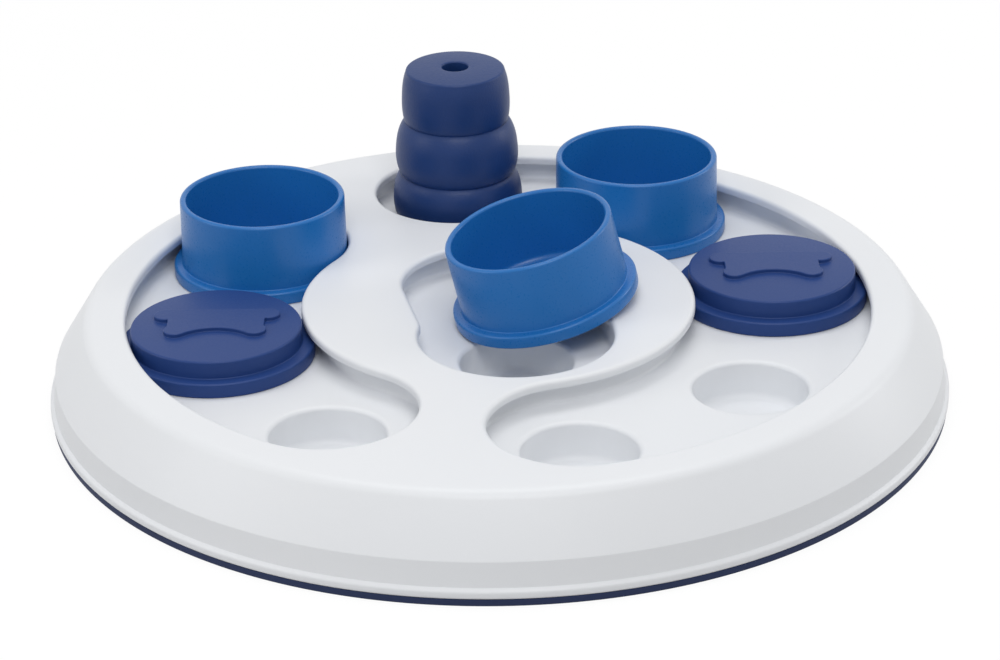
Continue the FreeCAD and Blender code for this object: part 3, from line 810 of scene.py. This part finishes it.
def cup_profile():
    flange_radius, flange_height = CUP_FLANGE
    recess_radius, recess_depth = CUP_RECESS
    return rounded([
        (0, recess_depth, 0),
        (recess_radius, recess_depth, CUP_CORNER_ROUND),
        (recess_radius + CUP_RECESS_SLOPE, 0, CUP_CORNER_ROUND),
        (flange_radius, 0, CUP_FOOT_ROUND),
        (flange_radius, flange_height, CUP_FLANGE_ROUND),
        (CUP_FOOT_RADIUS, flange_height, CUP_CORNER_ROUND),
        (CUP_TOP_RADIUS, CUP_HEIGHT, CUP_LIP_ROUND),
        (CUP_TOP_RADIUS - CUP_WALL, CUP_HEIGHT, CUP_LIP_ROUND),
        (CUP_FOOT_RADIUS - CUP_WALL - CUP_INSIDE_TAPER, CUP_FLOOR, CUP_INSIDE_ROUND),
        (0, CUP_FLOOR, 0),
    ])


def standing(angle, height, turn=0.0):
    """The place of a piece that stands upright on the track's middle line."""
    x, y = polar(TRACK_RADIUS, angle)
    return Matrix.Translation((x * MM, y * MM, height * MM)) @ Matrix.Rotation(math.radians(turn), 4, "Z")


def leaning():
    """The middle cup's place: one side on the keyhole's floor, the other on the plate's edge."""
    lean = math.radians(CUP_LEAN)
    climb = PLATE_HEIGHT + CUP_GAP - FLOOR_HEIGHT
    across = KEY_HALF - climb / math.tan(lean) + CUP_FLANGE[0] * math.cos(lean)
    up = FLOOR_HEIGHT + CUP_GAP + CUP_FLANGE[0] * math.sin(lean)
    centre = Vector((*along_key((CUP_LEAN_SHIFT, across)), up)) * MM
    axis = Vector((*polar(1.0, KEY_ANGLE), 0))
    return Matrix.Translation(centre) @ Matrix.Rotation(lean, 4, axis)


def make_cups():
    places = {
        "cup_left": standing(LEFT_WELLS[-1], FLOOR_HEIGHT),
        "cup_right": standing(CUP_RIGHT_ANGLE, FLOOR_HEIGHT),
        "cup_centre": leaning(),
    }
    for node, place in places.items():
        lathe(cup_profile(), node + "_shell", node, BLUE, (node,), place)


# Slider discs with their bones

def disc_profile():
    flange_radius, flange_height = DISC_FLANGE
    ceiling = DISC_HEIGHT - DISC_TOP
    inside = DISC_RADIUS - DISC_DRAFT - DISC_WALL
    return rounded([
        (0, ceiling, 0),
        (inside, ceiling, DISC_CEILING_ROUND),
        (inside, 0, DISC_INSIDE_ROUND),
        (flange_radius, 0, DISC_FOOT_ROUND),
        (flange_radius, flange_height, DISC_FLANGE_ROUND),
        (DISC_RADIUS, flange_height, DISC_CORNER_ROUND),
        (DISC_RADIUS, DISC_HEIGHT, DISC_TOP_ROUND),
        (0, DISC_HEIGHT, 0),
    ])


def bone_loop():
    """Outline of the raised bone, counter-clockwise: a knob at each corner and a curved waist in front."""
    side = BONE_BACK - BONE_KNOB
    rise = BONE_CROWN + side
    waist = (BONE_FRONT ** 2 + rise ** 2 - BONE_KNOB ** 2) / ((BONE_KNOB + rise) * 2)
    waist_centre = BONE_CROWN - waist
    touch = math.degrees(math.atan2(-side - waist_centre, BONE_FRONT))
    front_notch = math.degrees(math.acos((BONE_NOTCH - BONE_FRONT) / BONE_KNOB))
    rear_notch = math.degrees(math.acos((BONE_NOTCH - BONE_REAR) / BONE_KNOB))
    return chain(
        arc_points((BONE_FRONT, -side), BONE_KNOB, touch - 180, front_notch, BONE_FRONT_STEPS),
        arc_points((BONE_REAR, side), BONE_KNOB, -rear_notch, 90, BONE_REAR_STEPS),
        arc_points((-BONE_REAR, side), BONE_KNOB, 90, 180 + rear_notch, BONE_REAR_STEPS),
        arc_points((-BONE_FRONT, -side), BONE_KNOB, 180 - front_notch, 360 - touch, BONE_FRONT_STEPS),
        arc_points((0, waist_centre), waist, 180 - touch, touch, BONE_FRONT_STEPS),
    )


def soften(loop):
    """Cuts off each corner of a closed loop, a quarter of the way along its sides."""
    finer = []
    for i, here in enumerate(loop):
        after = loop[(i + 1) % len(loop)]
        for share in (0.25, 0.75):
            finer.append((here[0] * (1 - share) + after[0] * share, here[1] * (1 - share) + after[1] * share))
    return finer


def make_bone(node, place):
    """The bone that stands up from a disc, with a soft foot and a rounded edge."""
    shell = Shell()
    loop = soften(bone_loop())
    top = DISC_HEIGHT + BONE_HEIGHT
    rings = [shell.ring(loop, DISC_HEIGHT - DISC_TOP / 2)]
    rings += shell.arc(loop, BONE_FOOT_ROUND, DISC_HEIGHT + BONE_FOOT_ROUND, BONE_FOOT_ROUND,
                       270, 180, BONE_FOOT_STEPS)
    rings += shell.arc(loop, -BONE_EDGE_ROUND, top - BONE_EDGE_ROUND, BONE_EDGE_ROUND, 0, 90)
    rings.append(shell.ring(loop, top, -BONE_EDGE_ROUND - BONE_TOP_STRIP))
    shell.stack(rings)
    shell.fill(rings[0])
    shell.fill(rings[-1])
    bone = shell.finish(node + "_bone", node, NAVY)
    bone.data.transform(place)


def make_disc(node, angle):
    place = standing(angle, FLOOR_HEIGHT, DISC_TURN)
    lathe(disc_profile(), node + "_disc", node, NAVY, (node,), place)
    make_bone(node, place)


# Treat dispenser

def dispenser_outside(edge_centre):
    """Section up the outside: three full bulges with a sharp crease between, and the round top edge."""
    points = []
    feet = [foot for foot, _, _ in BULGES] + [DISPENSER_TOP]
    low = 0.0
    for number, (start, middle, high) in enumerate(BULGES):
        stop = feet[number + 1]
        swell = middle - (start + stop) / 2
        for i in range(BULGE_STEPS):
            share = i / BULGE_STEPS
            power = LOWER_FULLNESS if share < 0.5 else UPPER_FULLNESS
            fullness = 1 - abs(2 * share - 1) ** power
            pinch = CREASE if i == 0 and number > 0 else 0.0
            radius = start + (stop - start) * share + swell * fullness - pinch
            points.append((radius, low + (high - low) * share))
        low = high
    return points + arc_points(edge_centre, DISPENSER_EDGE, DISPENSER_EDGE_START, 90, ROUND_STEPS)


def dispenser_inside(flat):
    """Section over the crowned top from a radius inwards, through its hole and down the hollow."""
    mouth = DISPENSER_HOLE + DISPENSER_RIM
    points = []
    for i in range(1, CROWN_STEPS):
        share = i / CROWN_STEPS
        rise = DISPENSER_CROWN * (1 - (1 - share) ** 2)
        points.append((flat + (mouth - flat) * share, DISPENSER_HEIGHT + rise))
    rim_centre = (mouth, DISPENSER_HEIGHT + DISPENSER_CROWN - DISPENSER_RIM)
    points += arc_points(rim_centre, DISPENSER_RIM, 90, 180, ROUND_STEPS)
    bore, narrow = BULGES[1][0] - DISPENSER_WALL, BULGES[2][0] - DISPENSER_WALL
    roof = DISPENSER_HEIGHT - DISPENSER_WALL
    points += [(DISPENSER_HOLE, roof), (narrow, roof), (narrow, BULGES[1][2]), (bore, BULGES[0][2])]
    points += [(bore, DISPENSER_CHAMFER), (bore + DISPENSER_CHAMFER, 0.0)]
    return points


def make_dispenser():
    edge_centre = (DISPENSER_TOP - DISPENSER_EDGE, DISPENSER_HEIGHT - DISPENSER_EDGE)
    profile = dispenser_outside(edge_centre) + dispenser_inside(edge_centre[0])
    place = standing(RIGHT_WELLS[-1], FLOOR_HEIGHT + DISPENSER_GAP)
    lathe(profile, "dispenser_body", "treat_dispenser", RUBBER, ("treat_dispenser",),
          place, DISPENSER_STEPS)


# Stage: floor, lights and camera

def straight_rays(tree):
    """1 for what the camera sees directly, in a reflection or through glass, and 0 for bounced light."""
    rays = tree.nodes.new("ShaderNodeLightPath")
    seen = rays.outputs["Is Camera Ray"]
    for kind in ("Is Glossy Ray", "Is Transmission Ray"):
        either = tree.nodes.new("ShaderNodeMath")
        either.operation = "MAXIMUM"
        tree.links.new(seen, either.inputs[0])
        tree.links.new(rays.outputs[kind], either.inputs[1])
        seen = either.outputs[0]
    return seen


def mix_shaders(tree, share, unseen, seen, output):
    """Joins one shader for bounced light and one for what the camera sees to a tree's output."""
    mix = tree.nodes.new("ShaderNodeMixShader")
    tree.links.new(share, mix.inputs["Fac"])
    tree.links.new(unseen.outputs[0], mix.inputs[1])
    tree.links.new(seen.outputs[0], mix.inputs[2])
    tree.links.new(mix.outputs[0], tree.nodes[output].inputs["Surface"])


def stage_material():
    """Looks white, keeps the object's soft shadow and throws back little light."""
    material = bpy.data.materials.new("stage_white")
    material.use_nodes = True
    tree = material.node_tree
    shader = tree.nodes["Principled BSDF"]
    shader.inputs["Base Color"].default_value = (STAGE_GREY, STAGE_GREY, STAGE_GREY, 1)
    shader.inputs["Roughness"].default_value = STAGE_ROUGHNESS
    glow = tree.nodes.new("ShaderNodeEmission")
    glow.inputs["Color"].default_value = (1, 1, 1, 1)
    glow.inputs["Strength"].default_value = WHITE_GLOW
    share = tree.nodes.new("ShaderNodeMath")
    share.operation = "MULTIPLY"
    share.inputs[1].default_value = SHADOW_FADE
    tree.links.new(straight_rays(tree), share.inputs[0])
    mix_shaders(tree, share.outputs[0], shader, glow, "Material Output")
    return material


def make_floor_stage():
    data = bpy.data.meshes.new("stage_floor")
    corners = [(-STAGE_HALF, -STAGE_HALF, 0), (STAGE_HALF, -STAGE_HALF, 0),
               (STAGE_HALF, STAGE_HALF, 0), (-STAGE_HALF, STAGE_HALF, 0)]
    data.from_pydata(corners, [], [(0, 1, 2, 3)])
    floor = bpy.data.objects.new("stage_floor", data)
    bpy.context.scene.collection.objects.link(floor)
    data.materials.append(stage_material())


def make_world():
    """A dim sky for the light, and plain white for what the camera sees."""
    world = bpy.data.worlds.new("studio")
    world.use_nodes = True
    bpy.context.scene.world = world
    tree = world.node_tree
    sky, white = tree.nodes["Background"], tree.nodes.new("ShaderNodeBackground")
    for background, strength in ((sky, SKY_LEVEL), (white, 1.0)):
        background.inputs["Color"].default_value = (1, 1, 1, 1)
        background.inputs["Strength"].default_value = strength
    mix_shaders(tree, straight_rays(tree), sky, white, "World Output")


def make_lamps():
    for name, (place, target, size, power) in LAMPS.items():
        data = bpy.data.lights.new(name, "AREA")
        data.shape = "RECTANGLE"
        data.size, data.size_y = size
        data.energy = power
        lamp = bpy.data.objects.new(name, data)
        bpy.context.scene.collection.objects.link(lamp)
        lamp.location = place
        lamp.rotation_euler = (Vector(target) - Vector(place)).to_track_quat("-Z", "Y").to_euler()


def make_camera():
    data = bpy.data.cameras.new("camera")
    data.lens = CAMERA_LENS
    data.sensor_width = CAMERA_SENSOR
    data.sensor_fit = "HORIZONTAL"
    data.shift_x = (PHOTO_WIDTH / 2 - CENTRE_X) / PHOTO_WIDTH
    data.shift_y = (CENTRE_Y - PHOTO_HEIGHT / 2) / PHOTO_WIDTH
    data.clip_start = CAMERA_NEAR
    camera = bpy.data.objects.new("camera", data)
    bpy.context.scene.collection.objects.link(camera)
    azimuth, elevation = math.radians(CAMERA_AZIMUTH), math.radians(CAMERA_ELEVATION)
    back = Vector((math.sin(azimuth) * math.cos(elevation), -math.cos(azimuth) * math.cos(elevation),
                   math.sin(elevation)))
    camera.location = back * CAMERA_DISTANCE
    camera.rotation_mode = "QUATERNION"
    aim = (-back).to_track_quat("-Z", "Y")
    roll = Matrix.Rotation(math.radians(CAMERA_ROLL), 4, "Z").to_quaternion()
    camera.rotation_quaternion = aim @ roll
    bpy.context.scene.camera = camera


bpy.context.scene.view_settings.view_transform = "Standard"
make_camera()
make_world()
make_lamps()
make_floor_stage()
make_cover()
make_bosses()
make_tray()
make_ring()
make_cups()
make_disc("slider_left", LEFT_WELLS[1])
make_disc("slider_right", RIGHT_WELLS[2])
make_dispenser()

nodes["cover_screws"].data.materials.clear()
nodes["cover_screws"].data.materials.append(STEEL)
